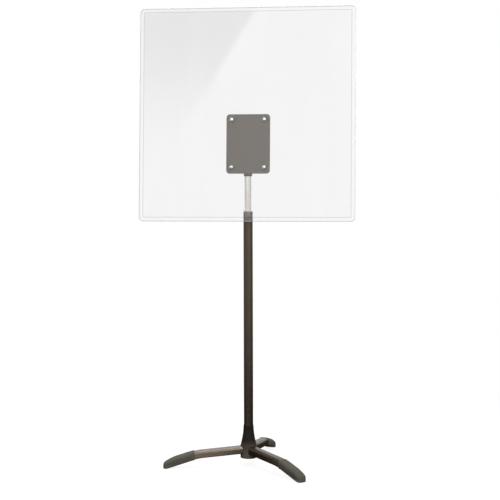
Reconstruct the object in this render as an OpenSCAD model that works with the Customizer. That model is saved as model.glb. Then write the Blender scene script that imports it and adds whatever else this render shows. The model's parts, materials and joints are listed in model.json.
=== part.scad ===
// Sign stand: a clear panel on a tilting, telescoping mast with a three-legged base.
// Millimetres. +Z is up, the panel faces -Y, and the origin is on the floor on the mast's axis.

/* [Panel] */
// Width of the clear panel
panel_w = 583; // [400:1:700]
// Height of the clear panel
panel_h = 576; // [400:1:700]
// Thickness of the clear panel
panel_t = 6; // [4:0.5:8]
// Radius of the panel's corners
panel_corner = 12.5; // [4:0.5:30]
// Height of the panel's centre above the tilt axis, along the panel
panel_rise = 79.4; // [0:0.1:120]

/* [Back plate] */
// Width of the painted plate behind the panel
plate_w = 118; // [110:1:160]
// Height of the painted plate behind the panel
plate_h = 160; // [150:1:220]
// Thickness of the painted plate
plate_t = 2.5; // [2:0.1:4]
// Radius of the plate's corners
plate_corner = 9.5; // [3:0.5:12]
// Distance of the plate's centre to the right of the mast's axis
plate_shift = 4; // [0:0.5:5]
// Screw spacing across the plate
screw_dx = 88; // [80:1:92]
// Screw spacing up the plate
screw_dz = 128; // [110:1:132]

/* [Tilt head] */
// Lean of the panel backwards from upright, in degrees
lean = 4.7; // [0:0.1:8]
// Distance from the tilt axis to the plate's back face
plate_gap = 28; // [26:0.5:44]
// Thickness of the neck's flat tang
tang_t = 16; // [14:0.5:18]
// Thickness of each bracket cheek
cheek_t = 3; // [2.5:0.1:4]

/* [Mast] */
// Outside diameter of the outer tube
tube_od = 25.4; // [25:0.1:26]
// Wall of the outer tube
tube_wall = 1.65; // [1.6:0.01:1.7]
// Height of the outer tube's top above the floor
tube_top = 698; // [500:1:800]
// Outside diameter of the inner tube
inner_od = 19.05; // [19:0.01:19.1]
// Wall of the inner tube
inner_wall = 1.25; // [1:0.05:1.5]
// Length of inner tube that shows between the bushing and the neck
mast_out = 93.5; // [86:0.5:300]
// Whole length of the inner tube
inner_len = 607.5; // [560:0.5:620]

/* [Base] */
// Reach of each leg's tip from the mast's axis
leg_reach = 235; // [225:1:260]
// Turn of the base about the mast, from a leg straight behind the panel
base_turn = -16.5; // [-30:0.1:30]
// Turn of the rear leg from an even spacing
rear_turn = 6; // [-10:0.5:10]
// Width of a leg
leg_w = 28; // [26:0.5:30]
// Depth of a leg
leg_h = 20; // [19:0.5:21]
// Wall of a leg's channel
leg_wall = 2.5; // [2:0.1:2.6]
// Height of the legs' centre line where it would meet the mast's axis
leg_root_z = 46.5; // [46:0.1:47]
// Length of a leg's inner straight, from the mast's axis
leg_in = 125; // [112.5:12.5:125]
// Radius of the bend between a leg's two straights
bend_r = 200; // [150:25:200]
// Radius of the hub
hub_r = 22.5; // [22:0.1:24]
// Height of the hub's flared top above the floor
hub_top = 113; // [100:1:125]
// Wall of the rubber boots
cap_wall = 1.5; // [1.4:0.1:2]

/* [Hidden] */

// Colours
paint = [0.29, 0.27, 0.25];
rubber = [0.16, 0.16, 0.16];
plated = [0.85, 0.85, 0.84];
steel = [0.62, 0.62, 0.6];
nylon = [0.6, 0.59, 0.56];
fibre = [0.4, 0.29, 0.2];
clear = [0.86, 0.9, 0.89, 0.35];

// Clearances
gap = 0.1;          // between fixed pieces
snug = 0.05;        // close fits
run = 0.075;        // radial, between running pieces
thread_gap = 0.03;  // radial, in nuts
cut = 1;            // how far a cut passes the face it opens

// Radii of the tubes
tube_r = tube_od / 2;
bore_r = tube_r - tube_wall;
inner_r = inner_od / 2;
inner_bore_r = inner_r - inner_wall;

// Heights up the mast
seat_z = 58;        // outer tube's seat in the hub
lip_h = 3;          // bushing's lip, above the outer tube
neck_z = tube_top + lip_h + mast_out;
neck_deep = 48;     // depth of the neck's socket
pin_z = neck_z + 22;
pivot_z = neck_z + 84.5;
inner_z = neck_z + neck_deep - inner_len;

// ---- flat shapes ----

// Rounded rectangle, centred
module round_rect(width, height, radius) {
    square([width - 2 * radius, height], center = true);
    square([width, height - 2 * radius], center = true);
    for (x = [-1, 1], y = [-1, 1])
        translate([x * (width / 2 - radius), y * (height / 2 - radius)])
            circle(r = radius, $fn = 64);
}

// Crowned bar: square below, two rounded corners above; low and top are heights
module crown(width, low, top, radius) {
    translate([-width / 2, low]) square([width, top - radius - low]);
    translate([-width / 2 + radius, low]) square([width - 2 * radius, top - low]);
    for (side = [-1, 1])
        translate([side * (width / 2 - radius), top - radius]) circle(r = radius, $fn = 64);
}

// ---- solids ----

// Straight run along +X of a section whose X becomes Y and whose Y becomes Z
module run_x(x0, x1) {
    translate([x0, 0, 0]) rotate([90, 0, 90]) linear_extrude(x1 - x0) children();
}

// Sheet in the XZ plane, from y0 towards +Y
module sheet(y0, thickness) {
    translate([0, y0 + thickness, 0]) rotate([90, 0, 0]) linear_extrude(thickness) children();
}

// Bars along +X, +Y and +Z
module bar_x(radius, x0, x1, facets = 48, z = 0) {
    translate([x0, 0, z]) rotate([0, 90, 0]) cylinder(r = radius, h = x1 - x0, $fn = facets);
}

module bar_y(radius, y0, y1, facets = 48) {
    translate([0, y0, 0]) rotate([-90, 0, 0]) cylinder(r = radius, h = y1 - y0, $fn = facets);
}

module bar_z(radius, z0, z1, facets = 48) {
    translate([0, 0, z0]) cylinder(r = radius, h = z1 - z0, $fn = facets);
}

// Ring about Z
module ring(hole_r, radius, z0, z1) {
    difference() {
        bar_z(radius, z0, z1, 96);
        bar_z(hole_r, z0 - cut, z1 + cut, 96);
    }
}

// ---- leg layout ----

// Azimuths of the legs, in degrees from +X
rear_azimuth = 90 + base_turn + rear_turn;
left_azimuth = 210 + base_turn;
right_azimuth = 330 + base_turn;

// Downward slopes of a leg's inner and outer straights.
// Both have a short sine and cosine, which keeps the joins exact.
slope_in = asin(0.07584);
slope_out = asin(0.28);

// [x, z] of the bend's inner end, centre and outer end, for a leg along +X
bend_start = [leg_in * cos(slope_in), leg_root_z - leg_in * sin(slope_in)];
bend_centre = [bend_start[0] - bend_r * sin(slope_in), bend_start[1] - bend_r * cos(slope_in)];
bend_end = [bend_centre[0] + bend_r * sin(slope_out), bend_centre[1] + bend_r * cos(slope_out)];

// Length of outer straight that reaches x
function outer_len(x) = (x - bend_end[0]) / cos(slope_out);

module each_leg() {
    for (azimuth = [left_azimuth, right_azimuth, rear_azimuth]) rotate([0, 0, azimuth]) children();
}

// Frame of a leg's inner straight
module leg_root() {
    translate([0, 0, leg_root_z]) rotate([0, slope_in, 0]) children();
}

// Frame of each lug, on its bolt's axis
lug_x = 36;

module each_lug() {
    each_leg() leg_root() translate([lug_x, 0, 0]) children();
}

// Upright arc of a section at the bend's radius
module bend_arc(start, sweep) {
    rotate([90, 0, 0]) rotate([0, 0, start]) rotate_extrude(angle = sweep, $fn = 720)
        translate([bend_r, 0]) rotate(-90) children();
}

// Bend between two slopes, swept from its outer end
module leg_bend(slope0, slope1) {
    translate([bend_centre[0], 0, bend_centre[1]])
        bend_arc(90 - slope1, slope1 - slope0) children();
}

// The same bend, swept from its inner end
module leg_bend_in(slope0, slope1) {
    translate([bend_centre[0], 0, bend_centre[1]]) mirror([1, 0, 0])
        bend_arc(90 + slope0, slope1 - slope0) children();
}

// Outer straight, from the end of the bend
module leg_outer(length) {
    translate([bend_end[0], 0, bend_end[1]]) rotate([0, slope_out, 0]) run_x(0, length) children();
}

// ---- hub ----

hub_low = 22;
hub_chamfer = 1.2;
hub_cut_z = 10;       // start of the cuts from below
flare_z = 56;         // foot of the flare
flare_r = 13.8;       // radius at the flare's top
flare_power = 1.8;
flare_steps = 14;
seat_r = tube_r - 0.3;
recess_top = 32;      // recess under the hub for the base bolt
tongue_gap = 0.2;     // between a hub tongue and its leg
tongue_corner = 5.3;
lug_bolt_r = 3;
lug_seat = -4.5;      // face under the lug that the bolt's head meets
lug_nut_w = 12;
pocket_w = lug_nut_w + 0.6;

// Radius of the flare at a fraction of its height
function flare(part) = flare_r + (hub_r - flare_r) * pow(1 - part, flare_power);

module hub() color(paint) difference() {
    union() {
        rotate_extrude($fn = 96) polygon(concat(
            [[0, hub_low], [hub_r - hub_chamfer, hub_low], [hub_r, hub_low + hub_chamfer],
             [hub_r, flare_z]],
            [for (i = [1:flare_steps])
                [flare(i / flare_steps), flare_z + (hub_top - flare_z) * i / flare_steps]],
            [[0, hub_top]]
        ));
        // Tongues inside the legs
        each_leg() leg_root() run_x(16, 50)
            crown(leg_w - 2 * leg_wall - 2 * tongue_gap, -leg_h / 2 + 1,
                  leg_h / 2 - leg_wall - tongue_gap, tongue_corner);
    }
    bar_z(seat_r + snug, seat_z, seat_z + hub_top, 96);
    bar_z(5.3, hub_cut_z, 70);
    bar_z(12, hub_cut_z, recess_top, 96);
    // Bolt hole, head recess and nut pocket of each lug
    each_lug() {
        bar_z(3.3, -30, 30);
        bar_z(6.5, -20, lug_seat);
        translate([-pocket_w / 2, -pocket_w / 2, 1.8]) cube([pocket_w, pocket_w, 20]);
    }
}

// Bolts up through the hub's lugs
module leg_bolts() color(steel) each_lug() {
    bar_z(5.77, lug_seat - 4, lug_seat, 6);
    bar_z(lug_bolt_r, lug_seat - 0.5, 6.8);
}

// Square nuts under the legs' crowns
module leg_nuts() color(steel) each_lug() difference() {
    translate([-lug_nut_w / 2, -lug_nut_w / 2, 2.4]) cube([lug_nut_w, lug_nut_w, 5]);
    bar_z(lug_bolt_r + thread_gap, 0, 20);
}

// ---- legs ----

leg_corner = 8;
leg_start = 18;
leg_end = leg_reach - 13;

// Crowned channel, open below
module leg_section() {
    difference() {
        crown(leg_w, -leg_h / 2, leg_h / 2, leg_corner);
        crown(leg_w - 2 * leg_wall, -leg_h / 2 - cut, leg_h / 2 - leg_wall, leg_corner - leg_wall);
    }
}

// One leg along +X; its bend is two sweeps that overlap
module leg() difference() {
    union() {
        leg_root() run_x(leg_start, leg_in) leg_section();
        leg_bend_in(slope_in, slope_in + 7) leg_section();
        leg_bend(slope_in + 4, slope_out) leg_section();
        leg_outer(outer_len(leg_end)) leg_section();
    }
    bar_z(hub_r + gap, 0, 80, 96);
}

module leg_left() color(paint) rotate([0, 0, left_azimuth]) leg();
module leg_right() color(paint) rotate([0, 0, right_azimuth]) leg();
module leg_rear() color(paint) rotate([0, 0, rear_azimuth]) leg();

// ---- boots ----

boot_half_w = leg_w / 2 + cap_wall;
boot_low = -leg_h / 2 - cap_wall;
boot_corner = 4;       // lower corners of the section
boot_tip_corner = 12;  // seen from above
boot_start = 150;      // x where the boot begins, on the bend's centre line
boot_trim_x = 120;     // near end of the trimming block

// The leg's outline grown by the boot's wall, with rounded lower corners
module boot_section() {
    union() {
        crown(2 * boot_half_w, boot_low + boot_corner, leg_h / 2 + cap_wall, leg_corner + cap_wall);
        translate([-boot_half_w + boot_corner, boot_low])
            square([2 * boot_half_w - 2 * boot_corner, leg_h]);
        for (side = [-1, 1])
            translate([side * (boot_half_w - boot_corner), boot_low + boot_corner])
                circle(r = boot_corner, $fn = 64);
    }
}

// The leg's outline, just larger
module boot_hollow() {
    crown(leg_w + 2 * snug, -leg_h / 2 - snug, leg_h / 2 + snug, leg_corner + snug);
}

// One rubber boot along +X, flat where it stands on the floor and rounded at the tip
module boot() {
    start_slope = asin((boot_start - bend_centre[0]) / bend_r);
    tip_x = leg_reach - boot_tip_corner;
    tip_y = boot_half_w - boot_tip_corner;
    intersection() {
        difference() {
            union() {
                leg_bend(start_slope, slope_out) boot_section();
                leg_outer(outer_len(leg_reach + 8)) boot_section();
            }
            leg_bend(start_slope - 1, slope_out) boot_hollow();
            leg_outer(outer_len(leg_end) + gap) boot_hollow();
        }
        linear_extrude(80) union() {
            translate([boot_trim_x, -boot_half_w]) square([tip_x - boot_trim_x, 2 * boot_half_w]);
            translate([boot_trim_x, -tip_y]) square([leg_reach - boot_trim_x, 2 * tip_y]);
            for (side = [-1, 1])
                translate([tip_x, side * tip_y]) circle(r = boot_tip_corner, $fn = 64);
        }
    }
}

module foot_cap_left() color(rubber) rotate([0, 0, left_azimuth]) boot();
module foot_cap_right() color(rubber) rotate([0, 0, right_azimuth]) boot();
module foot_cap_rear() color(rubber) rotate([0, 0, rear_azimuth]) boot();

// ---- outer mast ----

base_head_z = 24;
base_head_top = base_head_z + 6.4;
bush_low = tube_top - 28;
bush_lip_r = tube_r - 0.3;

// Tube, turned down a little where it sits in the hub
module outer_tube() color(paint) difference() {
    union() {
        bar_z(seat_r, seat_z + gap, hub_top + gap + 1, 96);
        bar_z(tube_r, hub_top + gap, tube_top, 96);
    }
    bar_z(bore_r, seat_z, seat_z + tube_top, 96);
}

// Threaded plug in the tube's lower end
module tube_plug() color(steel) ring(5.02, bore_r - snug, seat_z + gap, seat_z + 26);

module base_bolt() color(steel) {
    bar_z(9.24, base_head_z, base_head_top, 6);
    bar_z(5, 30, 78);
}

module base_washer() color(steel) ring(5.2, 10.5, base_head_top, recess_top);

// Guide bush with a chamfered lip on the tube's mouth
module top_bushing() color(nylon) rotate_extrude($fn = 96) polygon([
    [inner_r + run, bush_low],
    [bore_r - snug, bush_low],
    [bore_r - snug, tube_top],
    [bush_lip_r, tube_top],
    [bush_lip_r, tube_top + lip_h - 1],
    [bush_lip_r - 1.2, tube_top + lip_h],
    [inner_r + run, tube_top + lip_h]
]);

// ---- clutch: heights are from the inner tube's lower end ----

clutch_cut = -60;      // start of the cuts from below
shank_low = -53;
spring_r = 8.15;
slot_w = 2;
clutch_washer_top = shank_low - gap;
clutch_washer_low = clutch_washer_top - 1.6;
clutch_screw_r = 2.45;

module clutch() translate([0, 0, inner_z]) children();

// Collar with six fingers that press on the outer tube's bore
module clutch_sleeve() color(nylon) clutch() difference() {
    bar_z(bore_r - 0.06, -52.5, -3.5, 96);
    bar_z(5.06, clutch_cut, 20);
    bar_z(spring_r + snug, clutch_cut, -15.5, 96);
    for (i = [0:2]) rotate([0, 0, 60 * i])
        translate([-15, -slot_w / 2, clutch_cut]) cube([30, slot_w, 41]);
}

// Slit spring sleeve behind the fingers
module clutch_spring() color(steel) clutch() difference() {
    ring(7.2, spring_r, -49, -21);
    translate([0, -1.25, clutch_cut]) cube([20, 2.5, 60]);
}

// Plug in the inner tube's lower end, with a collar and the clutch's shank below it
module tube_foot() color(steel) clutch() difference() {
    union() {
        bar_z(inner_bore_r - 0.025, 0, 22, 96);
        bar_z(inner_r - 0.1, -3, 0, 96);
        bar_z(5, shank_low, -1);
    }
    bar_z(clutch_screw_r + snug, shank_low - cut, -38, 32);
}

module clutch_washer() color(steel) clutch() ring(2.7, 9, clutch_washer_low, clutch_washer_top);

// Round-headed screw with a hexagon socket
module clutch_screw() color(steel) clutch() difference() {
    union() {
        bar_z(4.25, clutch_washer_low - 4, clutch_washer_low);
        bar_z(clutch_screw_r, -55, -40, 32);
    }
    bar_z(2.3, clutch_cut, -56.5, 6);
}

// ---- inner mast and neck ----

pin_r = 2;
pin_len = 24.6;
cross_cut = 20;      // half-length of the holes across the mast
neck_r = 12.5;
neck_cone_h = 8;     // cone at the neck's mouth
neck_top = neck_z + 54;
tang_z = neck_z + 50;
tang_r = 13;
pivot_r = 4;

module pin_hole() bar_x(pin_r + snug, -cross_cut, cross_cut, 32, z = pin_z);

module inner_tube() color(plated) difference() {
    ring(inner_bore_r, inner_r, inner_z, inner_z + inner_len);
    pin_hole();
}

// Socket on the inner tube, flattened above to a tang with the tilt hole
module tilt_neck() color(paint) difference() {
    union() {
        translate([0, 0, neck_z]) cylinder(r1 = 10.9, r2 = neck_r, h = neck_cone_h, $fn = 96);
        bar_z(neck_r, neck_z + neck_cone_h, neck_top, 96);
        translate([0, 0, neck_top]) cylinder(r1 = neck_r, r2 = 9, h = 5, $fn = 96);
        translate([-tang_t / 2, -tang_r, tang_z]) cube([tang_t, 2 * tang_r, pivot_z - tang_z]);
        bar_x(tang_r, -tang_t / 2, tang_t / 2, 96, z = pivot_z);
    }
    bar_z(inner_r + snug, neck_z - cut, neck_z + neck_deep, 96);
    pin_hole();
    bar_x(pivot_r + run, -cross_cut, cross_cut, z = pivot_z);
}

module neck_pin() color(steel) bar_x(pin_r, -pin_len / 2, pin_len / 2, 32, z = pin_z);

// ---- tilting head: drawn about the tilt axis, upright, then leaned back ----

friction_t = 1.5;
spacer_t = 1.5;
washer_t = 1;
pad_w = 60;
pad_h = 90;
pad_t = 3;

// Inner and outer faces of the cheeks, either side of the mast's axis
cheek_in = tang_t / 2 + friction_t + gap;
cheek_out = cheek_in + cheek_t;

// Faces square to Y, from back to front
pad_back = pad_t - plate_gap;
plate_back = -plate_gap;
plate_front = plate_back - plate_t;
panel_back = plate_front - spacer_t;
panel_front = panel_back - panel_t;
washer_front = panel_front - washer_t;

module head() translate([0, 0, pivot_z]) rotate([-lean, 0, 0]) children();

// Four places at the corners of an upright rectangle
module each_corner(dx, dz) {
    for (x = [-1, 1], z = [-1, 1]) translate([x * dx / 2, 0, z * dz / 2]) children();
}

module each_rivet() each_corner(44, 70) children();

module each_screw() translate([plate_shift, 0, 0]) each_corner(screw_dx, screw_dz) children();

// ---- bracket ----

cheek_half_h = 30;     // at the pad
cheek_back_y = 2;      // end of the straight-sided part
cheek_back_z = tang_r - 1.5;
bracket_cut = 30;
pivot_hole_r = pivot_r + gap;
rivet_r = 2.4;

// Side of a cheek: wide at the pad, round about the tilt axis
module cheek() {
    polygon([
        [pad_back - 1, cheek_half_h], [pad_back, cheek_half_h],
        [cheek_back_y, cheek_back_z], [cheek_back_y, -cheek_back_z],
        [pad_back, -cheek_half_h], [pad_back - 1, -cheek_half_h]
    ]);
    circle(r = tang_r, $fn = 96);
}

// Pad with two cheeks; the left cheek has the square hole for the pivot bolt's neck
module tilt_bracket() color(paint) head() difference() {
    union() {
        sheet(plate_back, pad_t) round_rect(pad_w, pad_h, 6);
        for (x = [-cheek_out, cheek_in]) run_x(x, x + cheek_t) cheek();
    }
    bar_x(pivot_hole_r, 0, bracket_cut);
    translate([-bracket_cut, -pivot_hole_r, -pivot_hole_r])
        cube([bracket_cut, 2 * pivot_hole_r, 2 * pivot_hole_r]);
    each_rivet() bar_y(rivet_r + snug, plate_back - cut, 0, 32);
}

// Countersunk head of a rivet, in the plate's front face
module rivet_cone(clearance) {
    translate([0, plate_front, 0]) rotate([-90, 0, 0])
        cylinder(r1 = 4.2 + clearance, r2 = rivet_r + clearance, h = 1.6, $fn = 48);
}

// Rivets, countersunk in front and domed behind the pad
module bracket_rivets() color(steel) head() each_rivet() {
    bar_y(rivet_r, plate_front, pad_back, 32);
    rivet_cone(0);
    intersection() {
        translate([0, pad_back - 3.3, 0]) sphere(r = 5.6, $fn = 64);
        bar_y(5, pad_back, pad_back + 5);
    }
}

// Mushroom head, square neck in the left cheek, round shank through to the nut
module pivot_bolt() color(steel) head() union() {
    intersection() {
        translate([-cheek_out + 6.2, 0, 0]) sphere(r = 10.6, $fn = 96);
        bar_x(8.5, -cheek_out - 8, -cheek_out - snug, 64);
    }
    translate([-cheek_out - 0.5, -pivot_r, -pivot_r])
        cube([cheek_t + 0.4, 2 * pivot_r, 2 * pivot_r]);
    bar_x(pivot_r, -cheek_out, cheek_out + 11.6);
}

// Washers between the tang and the cheeks
module friction_washers() color(fibre) head()
    for (x = [-cheek_in + snug, tang_t / 2 + snug]) difference() {
        bar_x(tang_r - 0.5, x, x + friction_t, 96);
        bar_x(pivot_hole_r, x - cut, x + friction_t + cut);
    }

module pivot_washer() color(steel) head() difference() {
    bar_x(8, cheek_out + snug, cheek_out + 1.65, 64);
    bar_x(pivot_r + 0.2, cheek_out - cut, cheek_out + 3);
}

// Lock nut: hexagon with a round collar
module pivot_nut() color(steel) head() difference() {
    union() {
        bar_x(7.5, cheek_out + 1.7, cheek_out + 8.2, 6);
        bar_x(6, cheek_out + 8, cheek_out + 10);
    }
    bar_x(pivot_r + thread_gap, cheek_out, cheek_out + 12);
}

// ---- plate and panel ----

screw_r = 2.5;
screw_hole_r = 2.8;   // in spacers and washers
disc_r = 6.5;         // spacers and washers

module back_plate() color(paint) head() difference() {
    translate([plate_shift, 0, 0])
        sheet(plate_front, plate_t) round_rect(plate_w, plate_h, plate_corner);
    each_rivet() {
        bar_y(rivet_r + snug, plate_front - cut, plate_back + cut, 32);
        rivet_cone(snug);
    }
    each_screw() bar_y(2.75, plate_front - cut, plate_back + cut, 32);
}

module panel_spacers() color(rubber) head() each_screw() difference() {
    bar_y(disc_r, panel_back, plate_front);
    bar_y(screw_hole_r, panel_back - cut, plate_front + cut, 32);
}

module clear_panel() color(clear) head() difference() {
    translate([0, 0, panel_rise])
        sheet(panel_front, panel_t) round_rect(panel_w, panel_h, panel_corner);
    each_screw() bar_y(3.2, panel_front - cut, panel_back + cut, 32);
}

module panel_washers() color(clear) head() each_screw() difference() {
    bar_y(disc_r, washer_front, panel_front);
    bar_y(screw_hole_r, washer_front - 2 * cut, panel_front + cut, 32);
}

// Button-head screws with a hexagon socket
module panel_screws() color(steel) head() each_screw() difference() {
    union() {
        intersection() {
            translate([0, washer_front + 2.73, 0]) sphere(r = 5.48, $fn = 64);
            bar_y(4.75, washer_front - 4, washer_front);
        }
        bar_y(screw_r, washer_front - 0.5, plate_back + 6, 32);
    }
    bar_y(1.73, washer_front - 4, washer_front - 1, 6);
}

// Hexagons with a round collar behind
module panel_nuts() color(steel) head() each_screw() difference() {
    union() {
        bar_y(4.62, plate_back, plate_back + 4, 6);
        bar_y(3.7, plate_back + 3.5, plate_back + 5, 32);
    }
    bar_y(screw_r + thread_gap, plate_back - cut, plate_back + 7, 32);
}

hub();
leg_left();
leg_right();
leg_rear();
leg_bolts();
leg_nuts();
foot_cap_left();
foot_cap_right();
foot_cap_rear();
outer_tube();
tube_plug();
base_bolt();
base_washer();
top_bushing();
clutch_sleeve();
clutch_spring();
inner_tube();
tube_foot();
clutch_washer();
clutch_screw();
tilt_neck();
neck_pin();
tilt_bracket();
bracket_rivets();
pivot_bolt();
friction_washers();
pivot_washer();
pivot_nut();
back_plate();
panel_spacers();
clear_panel();
panel_washers();
panel_screws();
panel_nuts();
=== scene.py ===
"""Looks of a floor stand that carries a clear panel.

The mast rises along +Z from the floor at Z = 0, on three legs. The head turns about a tilt axis
along X at the top of the mast. The camera looks towards +Y, so a front face looks towards -Y.
Sizes are in millimetres and pieces are scaled to metres when made. The stage is in metres.
"""

import json
import math

import bmesh
import bpy
import numpy as np
from mathutils import Matrix, Vector


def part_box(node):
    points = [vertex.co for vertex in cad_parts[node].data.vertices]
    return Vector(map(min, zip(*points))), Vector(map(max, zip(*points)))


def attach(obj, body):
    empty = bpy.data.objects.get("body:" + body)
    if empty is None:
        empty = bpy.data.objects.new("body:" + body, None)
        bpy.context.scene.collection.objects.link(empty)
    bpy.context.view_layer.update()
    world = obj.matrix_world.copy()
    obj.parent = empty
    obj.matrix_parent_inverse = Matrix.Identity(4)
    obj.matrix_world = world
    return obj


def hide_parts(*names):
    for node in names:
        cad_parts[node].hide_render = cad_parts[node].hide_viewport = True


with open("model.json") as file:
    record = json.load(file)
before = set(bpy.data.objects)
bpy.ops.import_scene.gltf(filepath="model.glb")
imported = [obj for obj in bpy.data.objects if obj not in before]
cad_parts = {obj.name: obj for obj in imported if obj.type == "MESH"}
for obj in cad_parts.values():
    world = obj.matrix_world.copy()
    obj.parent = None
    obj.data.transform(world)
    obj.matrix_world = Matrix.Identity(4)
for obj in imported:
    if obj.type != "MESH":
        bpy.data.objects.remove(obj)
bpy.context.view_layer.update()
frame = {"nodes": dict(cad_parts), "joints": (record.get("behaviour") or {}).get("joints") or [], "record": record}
nodes = frame["nodes"]
record = frame["record"]
joints = {j["name"]: j for j in frame["joints"]}
mounts = {m["name"]: m for m in record["mounts"]}
slot_of = {s["node"]: s["material_slot"] for s in record["subparts"]}
MM = 0.001


# ---------------------------------------------------------------- sizes read from the frame

def box_mm(node):
    low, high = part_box(node)
    return low * 1000.0, high * 1000.0


def azimuth(foot):
    x, y = mounts[foot]["pos_m"][:2]
    return math.atan2(y, x)


def plate_lean():
    """Lean of the back plate from upright, in radians, from its largest face."""
    normal = max(nodes["back_plate"].data.polygons, key=lambda p: p.area).normal
    if abs(normal.y) <= 0.5:
        return 0.0
    lean = abs(math.atan2(normal.z, normal.y))
    return min(lean, math.pi - lean)


PIVOT_Z = joints["tilt"]["pos_m"][2] * 1000.0
tube_low_corner, tube_high_corner = box_mm("outer_tube")
TUBE_R = tube_high_corner.x
TUBE_LOW, TUBE_TOP = tube_low_corner.z, tube_high_corner.z
MAST_LOW, MAST_TOP = (corner.z for corner in box_mm("inner_tube"))
HUB_LOW, HUB_TOP = (corner.z for corner in box_mm("hub"))
BUSHING_LOW, BUSHING_TOP = (corner.z for corner in box_mm("top_bushing"))
NECK_LOW = box_mm("tilt_neck")[0].z
AZIMUTH = {side: azimuth("foot_" + side) for side in ("left", "right", "rear")}

# from the head's own frame, upright about the tilt axis, to its place with the top leant to +Y
HEAD = Matrix.Translation((0, 0, PIVOT_Z * MM)) @ Matrix.Rotation(-plate_lean(), 4, "X")


# ---------------------------------------------------------------- mesh helpers, in millimetres

def new_piece(name, verts, faces, matrix=None):
    """A mesh object from points in millimetres, placed by a matrix in metres."""
    mesh = bpy.data.meshes.new(name)
    mesh.from_pydata([tuple(c * MM for c in v) for v in verts], [], faces)
    if matrix is not None:
        mesh.transform(matrix)
    bm = bmesh.new()
    bm.from_mesh(mesh)
    bmesh.ops.remove_doubles(bm, verts=bm.verts, dist=1e-7)
    bmesh.ops.recalc_face_normals(bm, faces=bm.faces)
    bm.to_mesh(mesh)
    bm.free()
    mesh.validate(clean_customdata=False)
    piece = bpy.data.objects.new(name, mesh)
    bpy.context.scene.collection.objects.link(piece)
    return piece


def sharpen(piece, angle):
    """Smooth shading, with edges that turn by more than angle degrees kept sharp."""
    bm = bmesh.new()
    bm.from_mesh(piece.data)
    for face in bm.faces:
        face.smooth = True
    for edge in bm.edges:
        turn = edge.calc_face_angle(0.0) if len(edge.link_faces) == 2 else 0.0
        edge.smooth = turn <= math.radians(angle)
    bm.to_mesh(piece.data)
    bm.free()


def weight_normals(piece):
    modifier = piece.modifiers.new("weighted", "WEIGHTED_NORMAL")
    modifier.weight = 80
    modifier.keep_sharp = True


def combine(piece, operation, tools):
    """Exact boolean with each tool in turn, applied to the mesh. The tools are used up."""
    for tool in tools:
        modifier = piece.modifiers.new("combine", "BOOLEAN")
        modifier.operation = operation
        modifier.solver = "EXACT"
        modifier.object = tool
    bpy.context.view_layer.update()
    graph = bpy.context.evaluated_depsgraph_get()
    mesh = bpy.data.meshes.new_from_object(piece.evaluated_get(graph), depsgraph=graph)
    piece.modifiers.clear()
    old, piece.data = piece.data, mesh
    bpy.data.meshes.remove(old)
    for tool in tools:
        spent = tool.data
        bpy.data.objects.remove(tool)
        bpy.data.meshes.remove(spent)


def mend(piece):
    """Merge the slivers a boolean leaves and close the pinholes between them."""
    bm = bmesh.new()
    bm.from_mesh(piece.data)
    bmesh.ops.dissolve_degenerate(bm, dist=1e-6, edges=bm.edges)
    bmesh.ops.remove_doubles(bm, verts=bm.verts, dist=2e-6)
    rim = [e for e in bm.edges if len(e.link_faces) == 1]
    if rim:
        bmesh.ops.holes_fill(bm, edges=rim, sides=8)
    bmesh.ops.recalc_face_normals(bm, faces=bm.faces)
    bm.to_mesh(piece.data)
    bm.free()


def fillet(points, radii, steps):
    """Closed polygon with each corner rounded by its own radius, 0 for a sharp one."""
    out = []
    for i, radius in enumerate(radii):
        corner = Vector(points[i])
        if radius <= 0:
            out.append(tuple(corner))
            continue
        before = (Vector(points[i - 1]) - corner).normalized()
        after = (Vector(points[(i + 1) % len(points)]) - corner).normalized()
        half = math.acos(before.dot(after)) / 2
        reach = radius / math.tan(half)
        centre = corner + (before + after).normalized() * (radius / math.sin(half))
        start = corner + before * reach - centre
        end = corner + after * reach - centre
        sign = 1.0 if start.x * end.y - start.y * end.x > 0 else -1.0
        for k in range(steps + 1):
            turn = sign * (math.pi - 2 * half) * k / steps
            cos, sin = math.cos(turn), math.sin(turn)
            out.append((centre.x + start.x * cos - start.y * sin,
                        centre.y + start.x * sin + start.y * cos))
    return out


def arc(cx, cy, radius, start, end, steps):
    """Points on an arc between two angles in degrees, both ends included."""
    angles = [math.radians(start + (end - start) * k / steps) for k in range(steps + 1)]
    return [(cx + radius * math.cos(a), cy + radius * math.sin(a)) for a in angles]


def circle(x, y, radius, segments):
    angles = [2 * math.pi * k / segments for k in range(segments)]
    return [(x + radius * math.cos(a), y + radius * math.sin(a)) for a in angles]


def rounded_rectangle(width, height, radius, steps):
    """Rounded rectangle, anticlockwise."""
    x, y = width / 2 - radius, height / 2 - radius
    out = []
    for cx, cy, start in ((x, y, 0), (-x, y, 90), (-x, -y, 180), (x, -y, 270)):
        out += arc(cx, cy, radius, start, start + 90, steps)
    return out


def crowned_outline(width, low, top, top_r, low_r, steps=12):
    """Closed outline with large upper corners, anticlockwise from the middle of the bottom."""
    half = width / 2
    waist = (low + low_r + top - top_r) / 2
    out = [(0.0, low), (half * 0.45, low)]
    out += arc(half - low_r, low + low_r, low_r, -90, 0, steps // 2)
    out += [(half, waist)]
    out += arc(half - top_r, top - top_r, top_r, 0, 90, steps)
    out += [(0.0, top)]
    out += arc(top_r - half, top - top_r, top_r, 90, 180, steps)
    out += [(-half, waist)]
    out += arc(low_r - half, low + low_r, low_r, 180, 270, steps // 2)
    out += [(-half * 0.45, low)]
    return out


def bridge(faces, ring_a, ring_b):
    count = len(ring_a)
    for k in range(count):
        l = (k + 1) % count
        faces.append((ring_a[k], ring_a[l], ring_b[l], ring_b[k]))


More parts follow.
